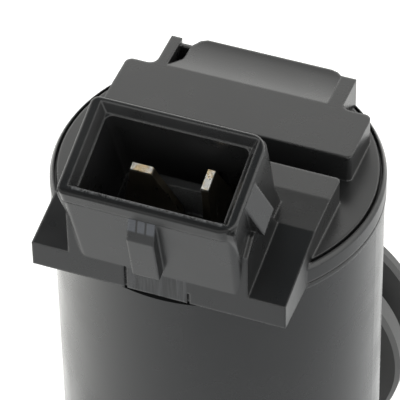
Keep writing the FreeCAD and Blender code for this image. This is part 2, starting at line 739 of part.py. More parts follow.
def motor_housing():
    """The one-piece moulding: motor tube, sealed partition, suction space, pump chamber and both nipples."""
    body = new_body("motor_housing")
    section = new_sketch(body, "housing_section", "XZ_Plane")
    bore = "shaft_radius + partition_bore_gap"
    suction = "(can_radius - suction_wall)"
    recess = COVER_RADIUS + " + fit_gap"
    add_outline(section, [
        ("can_radius", "base_chamfer"), ("can_radius", CAN_TOP), (CAN_INNER, CAN_TOP),
        (CAN_INNER, "partition_high"), (bore, "partition_high"), (bore, "partition_low + seal_depth"),
        ("seal_radius", "partition_low + seal_depth"), ("seal_radius", "partition_low"),
        (suction, "partition_low"), (suction, "suction_low"), (CHAMBER_RADIUS, "suction_low"),
        (CHAMBER_RADIUS, "cover_thickness"), (recess, "cover_thickness"), (recess, "0"),
        ("can_radius - base_chamfer", "0")])
    revolve(body, section)
    wall = CHAMBER_RADIUS + " + 1"
    for name, radius, end in (("inlet_boss", "inlet_boss_radius", GROMMET_FACE + " - fit_gap"),
                              ("inlet_nipple", "inlet_radius", INLET_END)):
        sketch = new_sketch(body, name, "XZ_Plane", lift="-(%s)" % wall)
        add_circle(sketch, "0", "inlet_height", radius)
        pad(body, sketch, "%s - (%s)" % (end, wall), reverse=True)
    bead = new_sketch(body, "inlet_bead", "XZ_Plane", lift="-(%s + bead_gap)" % GROMMET_END)
    add_circle(bead, "0", "inlet_height", "inlet_radius + inlet_bead")
    pad(body, bead, "bead_length", reverse=True)
    bore = new_sketch(body, "inlet_passage", "XZ_Plane", lift="-%s - 1" % INLET_END)
    add_circle(bore, "0", "inlet_height", "inlet_bore")
    pocket(body, bore, INLET_END + " - inlet_deep", reverse=True)
    stub = new_sketch(body, "outlet_nipple", "YZ_Plane", lift="-" + OUTLET_END)
    add_circle(stub, "-outlet_offset", "outlet_height", "outlet_radius")
    pad(body, stub, "%s - (%s)" % (OUTLET_END, wall))
    for place in ("barb_first", "barb_second"):
        barb = new_sketch(body, "outlet_" + place, "YZ_Plane", lift="-(%s - %s)" % (OUTLET_END, place))
        add_circle(barb, "-outlet_offset", "outlet_height", "outlet_barb")
        flare = pad(body, barb, "barb_length")
        bind(flare, "TaperAngle", "-barb_taper")
    passage = new_sketch(body, "outlet_passage", "YZ_Plane", lift="-%s - 1" % OUTLET_END)
    add_circle(passage, "-outlet_offset", "outlet_height", "outlet_bore")
    pocket(body, passage, OUTLET_END + " - outlet_deep", reverse=True)
    return body


def inlet_grommet():
    """The rubber grommet on the inlet nipple: two flanges, the slot for the tank's wall and a nose."""
    body = new_body("inlet_grommet")
    sketch = new_sketch(body, "grommet_section", "XY_Plane", lift="inlet_height")
    hole = "inlet_radius + run_gap"
    add_outline(sketch, [
        (hole, GROMMET_FACE), ("grommet_near_radius - grommet_bevel", GROMMET_FACE),
        ("grommet_near_radius", GROMMET_FACE + " + grommet_bevel"),
        ("grommet_near_radius", GROMMET_SLOT + " - grommet_bevel"),
        ("grommet_near_radius - grommet_bevel", GROMMET_SLOT), ("grommet_waist_radius", GROMMET_SLOT),
        ("grommet_waist_radius", GROMMET_FAR), ("grommet_far_radius - grommet_bevel", GROMMET_FAR),
        ("grommet_far_radius", GROMMET_FAR + " + grommet_bevel"),
        ("grommet_far_radius", GROMMET_FAR + " + grommet_edge"), ("grommet_waist_radius", GROMMET_BACK),
        ("inlet_radius + nose_wall", GROMMET_END), (hole, GROMMET_END)])
    revolve(body, sketch)
    return body


def terminals():
    blade("blade_left", True)
    blade("blade_right", False)


def pump_end():
    """Cover, seals, eye plate and impeller."""
    half = "cover_ring_section + fit_gap"
    groove = ("%s - (%s)" % (COVER_RING_RADIUS, half), "%s + %s" % (COVER_RING_RADIUS, half))
    deep = "cover_thickness - 2 * cover_ring_section - fit_gap"
    turned("chamber_cover", [("0", "0"), (COVER_RADIUS, "0"), (COVER_RADIUS, "cover_thickness"),
                             (groove[1], "cover_thickness"), (groove[1], deep), (groove[0], deep),
                             (groove[0], "cover_thickness"), ("0", "cover_thickness")])
    ring("cover_ring", COVER_RING_RADIUS, "cover_ring_section",
         "cover_thickness - cover_ring_section - fit_gap / 2")
    ring("cap_ring", PLUG_RADIUS + " - plug_groove + ring_section + run_gap", "ring_section",
         "cap_level - (plug_groove_high + plug_groove_low) / 2")
    turned("eye_plate", [("eye_radius", "suction_low - eye_thickness"),
                         (CHAMBER_RADIUS + " - fit_gap", "suction_low - eye_thickness"),
                         (CHAMBER_RADIUS + " - fit_gap", "suction_low"),
                         ("eye_radius - eye_lip", "suction_low")])
    lip, web = "seal_radius - seal_lip", "seal_radius - seal_web"
    turned("shaft_seal", [(BORE_RADIUS, "partition_low + seal_edge"),
                          (BORE_RADIUS + " + seal_edge", "partition_low"), (lip, "partition_low"),
                          (lip, "partition_low + 2 * seal_edge"), (web, "partition_low + 2 * seal_edge"),
                          (web, "partition_low"), ("seal_radius - run_gap", "partition_low"),
                          ("seal_radius - run_gap", "partition_low + seal_depth"),
                          (BORE_RADIUS + " + seal_edge", "partition_low + seal_depth"),
                          (BORE_RADIUS, "partition_low + 2 * seal_edge")])
    hole, rim = "shaft_radius + retainer_gap", "seal_radius + retainer_lap"
    turned("seal_retainer", [(hole, "partition_low - retainer_thickness"),
                             (rim, "partition_low - retainer_thickness"), (rim, "partition_low"),
                             (hole, "partition_low")])
    impeller()


def ring(label, radius, section, height):
    """A rubber ring of round section about the motor's axis."""
    body = new_body(label)
    sketch = new_sketch(body, label + "_section", "XZ_Plane")
    add_circle(sketch, radius, height, section)
    revolve(body, sketch)
    return body


def impeller():
    """An open impeller: disc, hub and six swept vanes."""
    body = new_body("impeller")
    section = new_sketch(body, "impeller_section", "XZ_Plane")
    plate = "impeller_low + impeller_plate"
    add_outline(section, [(BORE_RADIUS, "impeller_low"), (IMPELLER_RADIUS, "impeller_low"),
                          (IMPELLER_RADIUS, plate), ("impeller_hub + hub_foot", plate),
                          ("impeller_hub", plate + " + hub_foot"), ("impeller_hub", "impeller_high"),
                          (BORE_RADIUS, "impeller_high")])
    revolve(body, section)
    vane = new_sketch(body, "vane", "XY_Plane", lift="impeller_low + impeller_plate / 2")
    stations = [("(impeller_hub - vane_thickness / 3)", "0")]
    for share in ("1 / 3", "2 / 3", "1"):
        reach = "(impeller_hub + (%s - impeller_hub) * %s)" % (IMPELLER_RADIUS, share)
        stations.append((reach, "(vane_sweep * (%s) ^ 2)" % share))
    points = []
    for side, order in ((-1, stations), (1, stations[::-1])):
        for reach, sweep in order:
            half = "%d * vane_thickness / 2" % side
            lean = "(%s + vane_lean)" % sweep
            points.append(("%s * cos(%s) - %s * sin(%s)" % (reach, sweep, half, lean),
                           "-%s * sin(%s) - %s * cos(%s)" % (reach, sweep, half, lean)))
    add_outline(vane, points)
    polar(body, pad(body, vane, "impeller_high - impeller_low - impeller_plate / 2"), 6)
    return body


def motor_case():
    """Steel yoke, magnets, bushes and the card that carries the brushes."""
    turned("motor_yoke", [
        ("bush_radius + run_gap", "partition_high + fit_gap"), ("yoke_boss", "partition_high + fit_gap"),
        ("yoke_boss", "yoke_foot"), (YOKE_RADIUS + " - yoke_wall", "yoke_foot"),
        (YOKE_RADIUS, "yoke_foot + yoke_wall"),
        (YOKE_RADIUS, YOKE_TOP), (YOKE_INNER, YOKE_TOP), (YOKE_INNER, "yoke_foot + yoke_wall"),
        ("bush_radius + run_gap", "yoke_foot + yoke_wall")])
    for label, sign in (("magnet_right", ""), ("magnet_left", "-")):
        near, far = sign + MAGNET_INNER, sign + MAGNET_OUTER
        turned(label, [(near, "magnet_low"), (far, "magnet_low"), (far, "magnet_high"), (near, "magnet_high")],
               angle="magnet_angle")
    low = "partition_high + fit_gap"
    turned("lower_bush", [(BORE_RADIUS, low), ("bush_radius", low), ("bush_radius", low + " + bush_length"),
                          (BORE_RADIUS, low + " + bush_length")])
    low = "commutator_high + washer_thickness + 2 * fit_gap"
    turned("upper_bush", [(BORE_RADIUS, low), ("bush_radius", low), ("bush_radius", low + " + bush_length"),
                          (BORE_RADIUS, low + " + bush_length")])
    brush_card()
    brushes()


def brush_card():
    """The end card of the motor: a disc with a bush seat and two brush boxes under it."""
    body = new_body("brush_card")
    low = YOKE_TOP + " - card_thickness"
    seat = "bush_radius + run_gap"
    rim = "bush_radius + card_rim"
    section = new_sketch(body, "card_section", "XZ_Plane")
    edge = YOKE_INNER + " - run_gap"
    add_outline(section, [(seat, low), (edge, low), (edge, YOKE_TOP), (rim, YOKE_TOP),
                          (rim, YOKE_TOP + " + card_lip"), (seat, YOKE_TOP + " + card_lip")])
    revolve(body, section)
    mid = "(commutator_low + commutator_high) / 2"
    for side, sign in (("right", 1), ("left", -1)):
        walls = new_sketch(body, "brush_box_" + side, "XY_Plane", lift=low + " + card_thickness / 4")
        near = "%d * (commutator_radius + box_gap)" % sign
        far = "%d * (commutator_radius + brush_gap + brush_length)" % sign
        half = "brush_width / 2 + box_wall"
        add_outline(walls, box_points(*in_order(sign, near, far), "-(%s)" % half, half))
        pad(body, walls, "%s + card_thickness / 4 - commutator_low - box_lift" % low, reverse=True)
        channel = new_sketch(body, "brush_channel_" + side, "XZ_Plane", lift="brush_width / 2 + run_gap")
        near = "%d * commutator_radius" % sign
        far = "%d * (commutator_radius + 2 * brush_length)" % sign
        half = "brush_height / 2 + run_gap"
        add_outline(channel, box_points(*in_order(sign, near, far), "%s - (%s)" % (mid, half),
                                        "%s + %s" % (mid, half)))
        pocket(body, channel, "brush_width + 2 * run_gap")
    return body


def in_order(sign, near, far):
    """Near and far ends along X, lowest first."""
    return (near, far) if sign > 0 else (far, near)


def brushes():
    """Carbon brushes, the leaf springs behind them and the two leads up to the blades."""
    mid = "(commutator_low + commutator_high) / 2"
    reach = "commutator_radius + brush_gap"
    for side, sign in (("right", 1), ("left", -1)):
        near, far = "%d * (%s)" % (sign, reach), "%d * (%s + brush_length)" % (sign, reach)
        NODES.append(plain_box("brush_" + side, *in_order(sign, near, far), "-brush_width / 2",
                               "brush_width / 2", "%s - brush_height / 2" % mid,
                               "%s + brush_height / 2" % mid))
        near = "%d * (%s + brush_length + fit_gap)" % (sign, reach)
        far = "%d * (%s + brush_length + fit_gap + spring_thickness)" % (sign, reach)
        NODES.append(plain_box("brush_spring_" + side, *in_order(sign, near, far),
                               "-brush_width / 2 - spring_tail", "brush_width / 2", "%s - spring_half" % mid,
                               YOKE_TOP + " - card_thickness - run_gap"))
    for side, x, run in (("left", "-blade_left_x", "blade_left_run"),
                         ("right", "blade_right_x", "blade_right_run")):
        lead = doc.addObject("Part::Cylinder", "motor_lead_" + side)
        lead.Label = "motor_lead_" + side
        foot = socket_point(run, "blade_end")
        bind(lead, "Radius", "lead_radius")
        bind(lead, "Height", "%s - lead_gap - %s" % (foot[1], YOKE_TOP))
        bind(lead, "Placement.Base.x", x)
        bind(lead, "Placement.Base.y", foot[0])
        bind(lead, "Placement.Base.z", YOKE_TOP)
        NODES.append(lead)


def rotor():
    """Shaft, three-pole core with its coils, commutator and thrust washers."""
    turned("motor_shaft", [("0", "shaft_foot"), ("shaft_radius - shaft_bevel", "shaft_foot"),
                           ("shaft_radius", "shaft_foot + shaft_bevel"),
                           ("shaft_radius", "shaft_end - shaft_bevel"),
                           ("shaft_radius - shaft_bevel", "shaft_end"), ("0", "shaft_end")])
    core = new_body("armature_core")
    blank = new_sketch(core, "core_disc", "XY_Plane", lift="core_low")
    add_circle(blank, "0", "0", CORE_RADIUS)
    add_circle(blank, "0", "0", BORE_RADIUS)
    pad(core, blank, "core_high - core_low")
    slot = new_sketch(core, "core_slot", "XY_Plane", lift="core_high")
    inner = "(2 * pole_half / tan(60) + slot_floor)"
    reach = "(%s - shoe_thickness)" % CORE_RADIUS
    wide = "((tan(60) * pole_half + sqrt(%s ^ 2 - pole_half ^ 2)) / 2)" % reach
    points = [(inner, "%s * tan(60) - 2 * pole_half" % inner), (wide, "%s * tan(60) - 2 * pole_half" % wide),
              ("%s * cos(slot_shoulder)" % reach, "%s * sin(slot_shoulder)" % reach),
              (reach, "slot_opening / 2"), (CORE_RADIUS + " + 1", "slot_opening / 2")]
    add_outline(slot, points + [(x, "-(%s)" % y) for x, y in points[::-1]])
    polar(core, pocket(core, slot, "core_high - core_low"), 3)
    for turn in range(3):
        coil(turn)
    inside = "commutator_radius - commutator_wall"
    flange = "commutator_low + commutator_flange"
    lip = "commutator_radius + commutator_lip"
    turned("commutator_hub", [(BORE_RADIUS, "commutator_low"), (lip, "commutator_low"), (lip, flange),
                              (inside, flange), (inside, "commutator_high"), (BORE_RADIUS, "commutator_high")])
    for turn in range(3):
        label = "commutator_segment_%d" % (turn + 1)
        high = "commutator_high - segment_gap"
        piece = turned(label, [(inside + " + bond_gap", flange), ("commutator_radius", flange),
                               ("commutator_radius", high), (inside + " + bond_gap", high)],
                       angle="segment_angle")
        piece.Placement = FreeCAD.Placement(V(0, 0, 0), FreeCAD.Rotation(V(0, 0, 1), 120 * turn))
    for label, low in (("lower_washer", "partition_high + bush_length + 2 * fit_gap"),
                       ("upper_washer", "commutator_high + fit_gap / 2")):
        high = low + " + washer_thickness"
        turned(label, [(BORE_RADIUS, low), ("washer_radius", low), ("washer_radius", high), (BORE_RADIUS, high)])


def coil(turn):
    """One coil about a pole: a block with the pole's hole through it."""
    label = "armature_coil_%d" % (turn + 1)
    end = "(%s - shoe_thickness - coil_margin)" % CORE_RADIUS
    outer = plain_box(label + "_block", "coil_inner", end, "-coil_half", "coil_half",
                      "core_low - coil_over", "core_high + coil_over")
    inner = plain_box(label + "_pole", "coil_inner - 1", end + " + 1", "-pole_half - run_gap",
                      "pole_half + run_gap", "core_low - run_gap", "core_high + run_gap")
    wound = doc.addObject("Part::Cut", label)
    wound.Label = label
    wound.Base = outer
    wound.Tool = inner
    wound.Placement = FreeCAD.Placement(V(0, 0, 0), FreeCAD.Rotation(V(0, 0, 1), 60 + 120 * turn))
    NODES.append(wound)


def check_and_write():
    """Every object has to be sound before a file is written."""
    doc.recompute()
    for thing in doc.Objects:
        if "Invalid" in thing.State or "Error" in thing.State:
            raise RuntimeError("%s did not build: %s" % (thing.Label, thing.State))
    for node in NODES:
        shape = node.Shape
        if shape.isNull() or not shape.isValid() or not shape.Solids:
            raise RuntimeError("%s has no sound solid" % node.Label)
    os.makedirs("parts", exist_ok=True)
    for node in NODES:
        node.Shape.exportStep(os.path.join("parts", node.Label + ".step"))
        print(node.Label, len(node.Shape.Solids), round(node.Shape.Volume, 1))


connector_cap()
motor_housing()
inlet_grommet()
terminals()
pump_end()
motor_case()
rotor()
check_and_write()
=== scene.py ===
import json
from math import cos, radians, sin, tan

import bpy
from mathutils import Matrix, Vector

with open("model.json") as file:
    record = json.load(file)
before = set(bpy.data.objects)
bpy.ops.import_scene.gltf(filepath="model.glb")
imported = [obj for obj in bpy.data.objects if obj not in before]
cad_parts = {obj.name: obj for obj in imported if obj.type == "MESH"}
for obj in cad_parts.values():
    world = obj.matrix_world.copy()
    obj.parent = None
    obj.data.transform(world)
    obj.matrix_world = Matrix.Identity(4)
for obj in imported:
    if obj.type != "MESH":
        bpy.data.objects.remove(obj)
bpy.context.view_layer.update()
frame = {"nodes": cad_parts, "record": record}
scene = bpy.context.scene

# Places on the connector cap in metres. Across is along X, run goes back across the tilted socket from
# the rim's front, and fall goes down into the socket from the rim.
SOCKET_TILT = radians(21.0)
RIM_FRONT = 0.0210
RIM_HEIGHT = 0.07381
PLATE_FRONT = -0.01785
FLOW_ACROSS = (-0.0036, 0.0034)
FLOW_HEIGHT = (0.0589, 0.0624)
CAVITY_ACROSS = (-0.0082, 0.0082)
CAVITY_RUN = (0.0007, 0.0106)
TORN_FRONT_RUN = (0.00072, 0.00112)
TORN_RIGHT_ACROSS = (0.0077, 0.0081)
TORN_LEFT_ACROSS = (-0.0081, -0.0078)
TORN_FALL = 0.0005
WALL_ACROSS = (-0.0034, 0.00325)
WALL_FACE_RUN = (0.0072, 0.0075)
WALL_TOP_FALL = 0.0085
LATCH_ACROSS = (-0.0022, 0.0008)
LATCH_RAMP_FALL = (0.0025, 0.0037)
LATCH_FACE_RUN = 0.0002
LATCH_LINES = (-0.0012, -0.0002)
LATCH_LINE_EDGE = (0.00006, 0.00016)
WEAR_AND_HIGHLIGHT_FALL = 0.03
COLLAR_RUN = 0.0006
COLLAR_FALL = (0.0016, 0.0028)
BLADE_TIP_HEIGHT = (0.07645, 0.07675)

# How far a patch of finish fades on either side of its edge, in metres.
SOFT_EDGE = 0.0001
CRISP_EDGE = 0.00005
SHARP_EDGE = 0.00003

# Radii in metres: of the rounding that the light sees on moulded edges, and of the one that finds wear and
# the painted highlight.
EDGE_RADIUS = 0.00035
WEAR_AND_HIGHLIGHT_RADIUS = 0.00016

# Base colours of the cap and of the marks on it, what marks add to its roughness, and their relief.
CAP_BLACK = (0.0100, 0.0102, 0.0105)
FLOW_GREY = (0.030, 0.031, 0.033)
TORN_GREY = (0.075, 0.077, 0.080)
# The wall face's grey is partly its grain and partly a painted sheen.
WALL_GRAIN_AND_SHEEN_GREY = (0.115, 0.120, 0.125)
RIB_GREY = (0.045, 0.048, 0.055)
# A grey for the edges that is partly wear and partly a painted highlight.
WEAR_AND_HIGHLIGHT_GREY = (0.050, 0.050, 0.050)
TORN_ROUGH = 0.2
WALL_ROUGH = 0.3
MARK_RELIEF = 1.5e-5

# The blades' colours on their faces, the painted highlight on the sheared tip and where brass shows there.
TIN_DULL = (0.42, 0.37, 0.28)
TIP_HIGHLIGHT_WHITE = (0.95, 0.93, 0.88)
BARE_BRASS = (0.95, 0.70, 0.34)
TIP_RELIEF = 1.6e-4

# Specular levels of the cap, and of its collar where the collar mirrors least.
FULL_SHINE = 0.5
COLLAR_SHINE = 0.16

# The floor lies just below the pump. Its mirrored light fades across it, towards one side.
FLOOR_HALF = 3.0
FLOOR_LEVEL = -0.0002
FLOOR_GREY = (0.80, 0.80, 0.80)
FLOOR_PALE = (0.83, 0.83, 0.83)
FLOOR_GLOW = 0.35
DIM_SIDE = radians(52.0)
DIM_RUN = (-0.06, 0.06)
DIM_LIGHT = (1.75, 0.85)
TINT_RUN = (-0.05, 0.05)
WARM_TINT = (1.0, 1.0, 0.97)
COOL_TINT = (0.97, 0.99, 1.0)

# The studio's light: levels of the bright band by degrees of elevation, and what is left overhead.
BAND = ((30, 1.0), (42, 0.90), (46, 0.66), (52, 0.13), (62, 0.06))
HORIZON = (1.0, 1.0, 0.98)
OVERHEAD = (0.028, 0.040, 0.048)
OVERHEAD_FROM = 76
STUDIO_STRENGTH = 2.4


class Tree:
    """A material's nodes, with short calls for the kinds that the finishes need."""

    def __init__(self, name):
        self.name = name
        self.material = bpy.data.materials.new(name)
        self.material.use_nodes = True
        self.nodes = self.material.node_tree.nodes
        self.links = self.material.node_tree.links
        self.nodes.clear()
        self.shader = self.nodes.new("ShaderNodeBsdfPrincipled")
        self.output = self.nodes.new("ShaderNodeOutputMaterial")
        self.show(self.shader.outputs["BSDF"])
        self.place = self.nodes.new("ShaderNodeTexCoord").outputs["Object"]

    def show(self, surface):
        self.links.new(surface, self.output.inputs["Surface"])

    def put(self, socket, value):
        """Links a socket to another one, or sets its value."""
        if isinstance(value, bpy.types.NodeSocket):
            self.links.new(value, socket)
        else:
            socket.default_value = value

    def drive(self, name, value):
        """Sets one of the shader's inputs."""
        self.put(self.shader.inputs[name], value)

    def driven(self, name):
        """What feeds one of the shader's inputs now."""
        return self.shader.inputs[name].links[0].from_socket

    def stretch(self, scale):
        """The place on the object, scaled, for a pattern to follow."""
        node = self.nodes.new("ShaderNodeMapping")
        self.links.new(self.place, node.inputs["Vector"])
        node.inputs["Scale"].default_value = scale
        return node.outputs["Vector"]

    def noise(self, scale, detail=3.0, rough=0.55, stretch=(1, 1, 1)):
        node = self.nodes.new("ShaderNodeTexNoise")
        self.links.new(self.stretch(stretch), node.inputs["Vector"])
        node.inputs["Scale"].default_value = scale
        node.inputs["Detail"].default_value = detail
        node.inputs["Roughness"].default_value = rough
        return node.outputs["Fac"]

    def span(self, value, low, high, to_low=0.0, to_high=1.0):
        """Maps low to to_low and high to to_high, and clamps past them."""
        node = self.nodes.new("ShaderNodeMapRange")
        self.links.new(value, node.inputs["Value"])
        node.inputs["From Min"].default_value = low
        node.inputs["From Max"].default_value = high
        node.inputs["To Min"].default_value = to_low
        node.inputs["To Max"].default_value = to_high
        return node.outputs["Result"]

    def math(self, kind, a, b=0.0):
        node = self.nodes.new("ShaderNodeMath")
        node.operation = kind
        self.put(node.inputs[0], a)
        self.put(node.inputs[1], b)
        return node.outputs["Value"]

    def scaled(self, value, factor):
        return self.math("MULTIPLY", value, factor)

    def all_of(self, *masks):
        """The product of the masks."""
        total = masks[0]
        for mask in masks[1:]:
            total = self.math("MULTIPLY", total, mask)
        return total

    def within(self, value, low, high, soft):
        """1 where value is between low and high. It fades over soft on either side of both."""
        up = self.span(value, low - soft, low + soft)
        down = self.span(value, high - soft, high + soft, 1.0, 0.0)
        return self.math("MULTIPLY", up, down)

    def blend(self, share, one, two):
        """Colour one where share is 0, and two where it is 1."""
        node = self.nodes.new("ShaderNodeMix")
        node.data_type = "RGBA"
        self.put(node.inputs["Factor"], share)
        self.put(node.inputs["A"], (*one, 1.0) if isinstance(one, tuple) else one)
        self.put(node.inputs["B"], (*two, 1.0) if isinstance(two, tuple) else two)
        return node.outputs["Result"]

    def repaint(self, mask, color):
        """Lays a colour over the base colour where the mask is 1."""
        self.drive("Base Color", self.blend(mask, self.driven("Base Color"), color))

    def axes(self):
        """The place on the object as X, Y and Z."""
        node = self.nodes.new("ShaderNodeSeparateXYZ")
        self.links.new(self.place, node.inputs["Vector"])
        return node.outputs["X"], node.outputs["Y"], node.outputs["Z"]

    def rounded(self, radius):
        """A normal that rounds the piece's edges in the light."""
        node = self.nodes.new("ShaderNodeBevel")
        node.samples = 6
        node.inputs["Radius"].default_value = radius
        return node.outputs["Normal"]

    def bump(self, height, depth, under=None):
        """A normal with that relief, laid over another normal."""
        node = self.nodes.new("ShaderNodeBump")
        self.links.new(height, node.inputs["Height"])
        node.inputs["Distance"].default_value = depth
        node.inputs["Strength"].default_value = 1.0
        if under is not None:
            self.links.new(under, node.inputs["Normal"])
        return node.outputs["Normal"]


def clouded(tree, color, vary, scale):
    """Faint clouds in the base colour. Returns the clouds."""
    cloud = tree.noise(scale, detail=4.0, rough=0.6)
    dark = tuple(channel * (1 - vary) for channel in color)
    pale = tuple(min(1.0, channel * (1 + vary)) for channel in color)
    tree.drive("Base Color", tree.blend(cloud, dark, pale))
    return cloud


def moulded(name, color, rough, grain=4200.0, depth=4e-6, wave=2.5e-5, vary=0.25, edge=None):
    """Moulded plastic or rubber: fine grain, slow sink marks, faint colour clouds and uneven gloss."""
    tree = Tree(name)
    cloud = clouded(tree, color, vary, scale=140.0)
    fine = tree.noise(grain, detail=2.0, rough=0.5)
    slow = tree.noise(60.0, detail=1.0, rough=0.4)
    tree.drive("Roughness", tree.span(cloud, 0.3, 0.7, rough - 0.05, rough + 0.05))
    edges = None if edge is None else tree.rounded(edge)
    tree.drive("Normal", tree.bump(fine, depth, under=tree.bump(slow, wave, under=edges)))
    tree.drive("IOR", 1.5)
    return tree


def metal(name, color, rough, grain=900.0, stretch=(1, 1, 1), depth=3e-6, vary=0.12):
    """Worked metal: drawn lines or fine grain, with tarnish clouds."""
    tree = Tree(name)
    clouded(tree, color, vary, scale=260.0)
    lines = tree.noise(grain, rough=0.6, stretch=stretch)
    tree.drive("Roughness", tree.span(lines, 0.3, 0.7, rough - 0.08, rough + 0.08))
    tree.drive("Normal", tree.bump(lines, depth))
    tree.drive("Metallic", 1.0)
    return tree


def socket_frame(tree):
    """Across, run and fall in the tilted socket's own frame."""
    x, y, z = tree.axes()
    back = tree.math("ADD", y, RIM_FRONT)
    over = tree.math("SUBTRACT", z, RIM_HEIGHT)
    run = tree.math(
        "ADD", tree.scaled(back, cos(SOCKET_TILT)), tree.scaled(over, sin(SOCKET_TILT))
    )
    fall = tree.math(
        "SUBTRACT", tree.scaled(back, sin(SOCKET_TILT)), tree.scaled(over, cos(SOCKET_TILT))
    )
    return x, run, fall


def flow_lines(tree):
    """Upright flow lines on the plate's front, between its two slits."""
    x, y, z = tree.axes()
    lines = tree.noise(2600.0, rough=0.7, stretch=(1.0, 1.0, 0.06))
    return tree.all_of(
        tree.math("LESS_THAN", y, PLATE_FRONT),
        tree.within(x, *FLOW_ACROSS, SOFT_EDGE),
        tree.within(z, *FLOW_HEIGHT, SOFT_EDGE),
        tree.span(lines, 0.4, 0.65),
    )


def torn_rim(tree, across, run, fall):
    """Crumbs along the rim's inner edge: in front, at the right, and half as strong at the left."""
    front = tree.all_of(
        tree.within(run, *TORN_FRONT_RUN, SOFT_EDGE), tree.within(across, *CAVITY_ACROSS, SOFT_EDGE)
    )
    right = tree.within(across, *TORN_RIGHT_ACROSS, SOFT_EDGE)
    left = tree.scaled(tree.within(across, *TORN_LEFT_ACROSS, SOFT_EDGE), 0.5)
    sides = tree.all_of(
        tree.math("MAXIMUM", right, left), tree.within(run, *CAVITY_RUN, SOFT_EDGE)
    )
    crumbs = tree.noise(2600.0, detail=4.0, rough=0.75)
    return tree.all_of(
        tree.math("MAXIMUM", front, sides),
        tree.math("LESS_THAN", fall, TORN_FALL),
        tree.span(crumbs, 0.42, 0.60),
    )


def wall_face(tree, across, run, fall):
    """The front face of the wall between the blades."""
    return tree.all_of(
        tree.within(across, *WALL_ACROSS, CRISP_EDGE),
        tree.within(run, *WALL_FACE_RUN, CRISP_EDGE),
        tree.math("GREATER_THAN", fall, WALL_TOP_FALL),
    )


def latch_ribs(tree, across, run, fall):
    """Three pale ribs on the front latch's ramp, parted by two lines."""
    ramp = tree.all_of(
        tree.within(across, *LATCH_ACROSS, SHARP_EDGE),
        tree.within(fall, *LATCH_RAMP_FALL, SOFT_EDGE),
        tree.math("LESS_THAN", run, LATCH_FACE_RUN),
    )
    gaps = [tree.math("ABSOLUTE", tree.math("SUBTRACT", across, line)) for line in LATCH_LINES]
    return tree.all_of(ramp, tree.span(tree.math("MINIMUM", *gaps), *LATCH_LINE_EDGE))


def worn_and_highlit_edges(tree, fall):
    """Patches of wear and painted highlight on the edges, found where a rounded normal leaves the true
    one.
    """
    turn = tree.nodes.new("ShaderNodeVectorMath")
    turn.operation = "DOT_PRODUCT"
    geometry = tree.nodes.new("ShaderNodeNewGeometry")
    tree.links.new(geometry.outputs["True Normal"], turn.inputs[0])
    tree.links.new(tree.rounded(WEAR_AND_HIGHLIGHT_RADIUS), turn.inputs[1])
    return tree.all_of(
        tree.span(turn.outputs["Value"], 0.97, 0.80),
        tree.math("LESS_THAN", fall, WEAR_AND_HIGHLIGHT_FALL),
        tree.span(tree.noise(900.0, rough=0.6), 0.42, 0.62),
    )


def collar_shine(tree, run, fall):
    """Specular level: in front the top of the rim's collar mirrors little, as in the photo."""
    collar = tree.math("LESS_THAN", run, COLLAR_RUN)
    faded = tree.span(fall, *COLLAR_FALL, COLLAR_SHINE, FULL_SHINE)
    rest = tree.scaled(tree.math("SUBTRACT", 1.0, collar), FULL_SHINE)
    return tree.math("ADD", tree.all_of(collar, faded), rest)


def cap_material():
    """Black satin plastic: edges with wear and a painted highlight, flow lines, torn rim, latch ribs, a
    grained wall with painted sheen.
    """
    tree = moulded("cap_plastic", CAP_BLACK, rough=0.29, edge=EDGE_RADIUS)
    across, run, fall = socket_frame(tree)
    flow = flow_lines(tree)
    torn = torn_rim(tree, across, run, fall)
    wall = wall_face(tree, across, run, fall)
    speckle = tree.span(tree.noise(5200.0, detail=2.0, rough=0.6), 0.35, 0.65, 0.3, 1.0)
    ribs = latch_ribs(tree, across, run, fall)
    wear_and_highlight = worn_and_highlit_edges(tree, fall)

    tree.repaint(tree.scaled(flow, 0.8), FLOW_GREY)
    tree.repaint(torn, TORN_GREY)
    # Painted sheen with grain: the wall face between the blades is painted a paler speckled grey.
    tree.repaint(tree.all_of(wall, speckle), WALL_GRAIN_AND_SHEEN_GREY)
    tree.repaint(ribs, RIB_GREY)
    # Painted highlight with wear: the edges are painted a paler grey in patches.
    tree.repaint(tree.scaled(wear_and_highlight, 0.7), WEAR_AND_HIGHLIGHT_GREY)

    rough = tree.math("ADD", tree.driven("Roughness"), tree.scaled(torn, TORN_ROUGH))
    tree.drive("Roughness", tree.math("ADD", rough, tree.scaled(wall, WALL_ROUGH)))
    tree.drive("Specular IOR Level", collar_shine(tree, run, fall))
    relief = tree.math("ADD", tree.math("ADD", torn, flow), ribs)
    tree.drive("Normal", tree.bump(relief, MARK_RELIEF, under=tree.driven("Normal")))
    return tree


def blade_material():
    """Tinned brass: dull faces, and a rough sheared tip with a painted highlight, where the brass shows.
    """
    rolled = (1.0, 1.0, 0.15)
    tree = metal("blade_brass", TIN_DULL, rough=0.34, grain=1500.0, stretch=rolled)
    y, z = tree.axes()[1:]
    level = tree.math("ADD", z, tree.scaled(y, -tan(SOCKET_TILT)))
    tip = tree.span(level, *BLADE_TIP_HEIGHT)
    brass = tree.all_of(tip, tree.span(tree.noise(1300.0), 0.45, 0.6, 0.0, 0.8))
    # Painted highlight: the sheared tip is painted near white.
    tree.repaint(tip, TIP_HIGHLIGHT_WHITE)
    tree.repaint(brass, BARE_BRASS)
    torn = tree.all_of(tip, tree.noise(5200.0, detail=4.0, rough=0.7))
    tree.drive("Normal", tree.bump(torn, TIP_RELIEF, under=tree.driven("Normal")))
    return tree


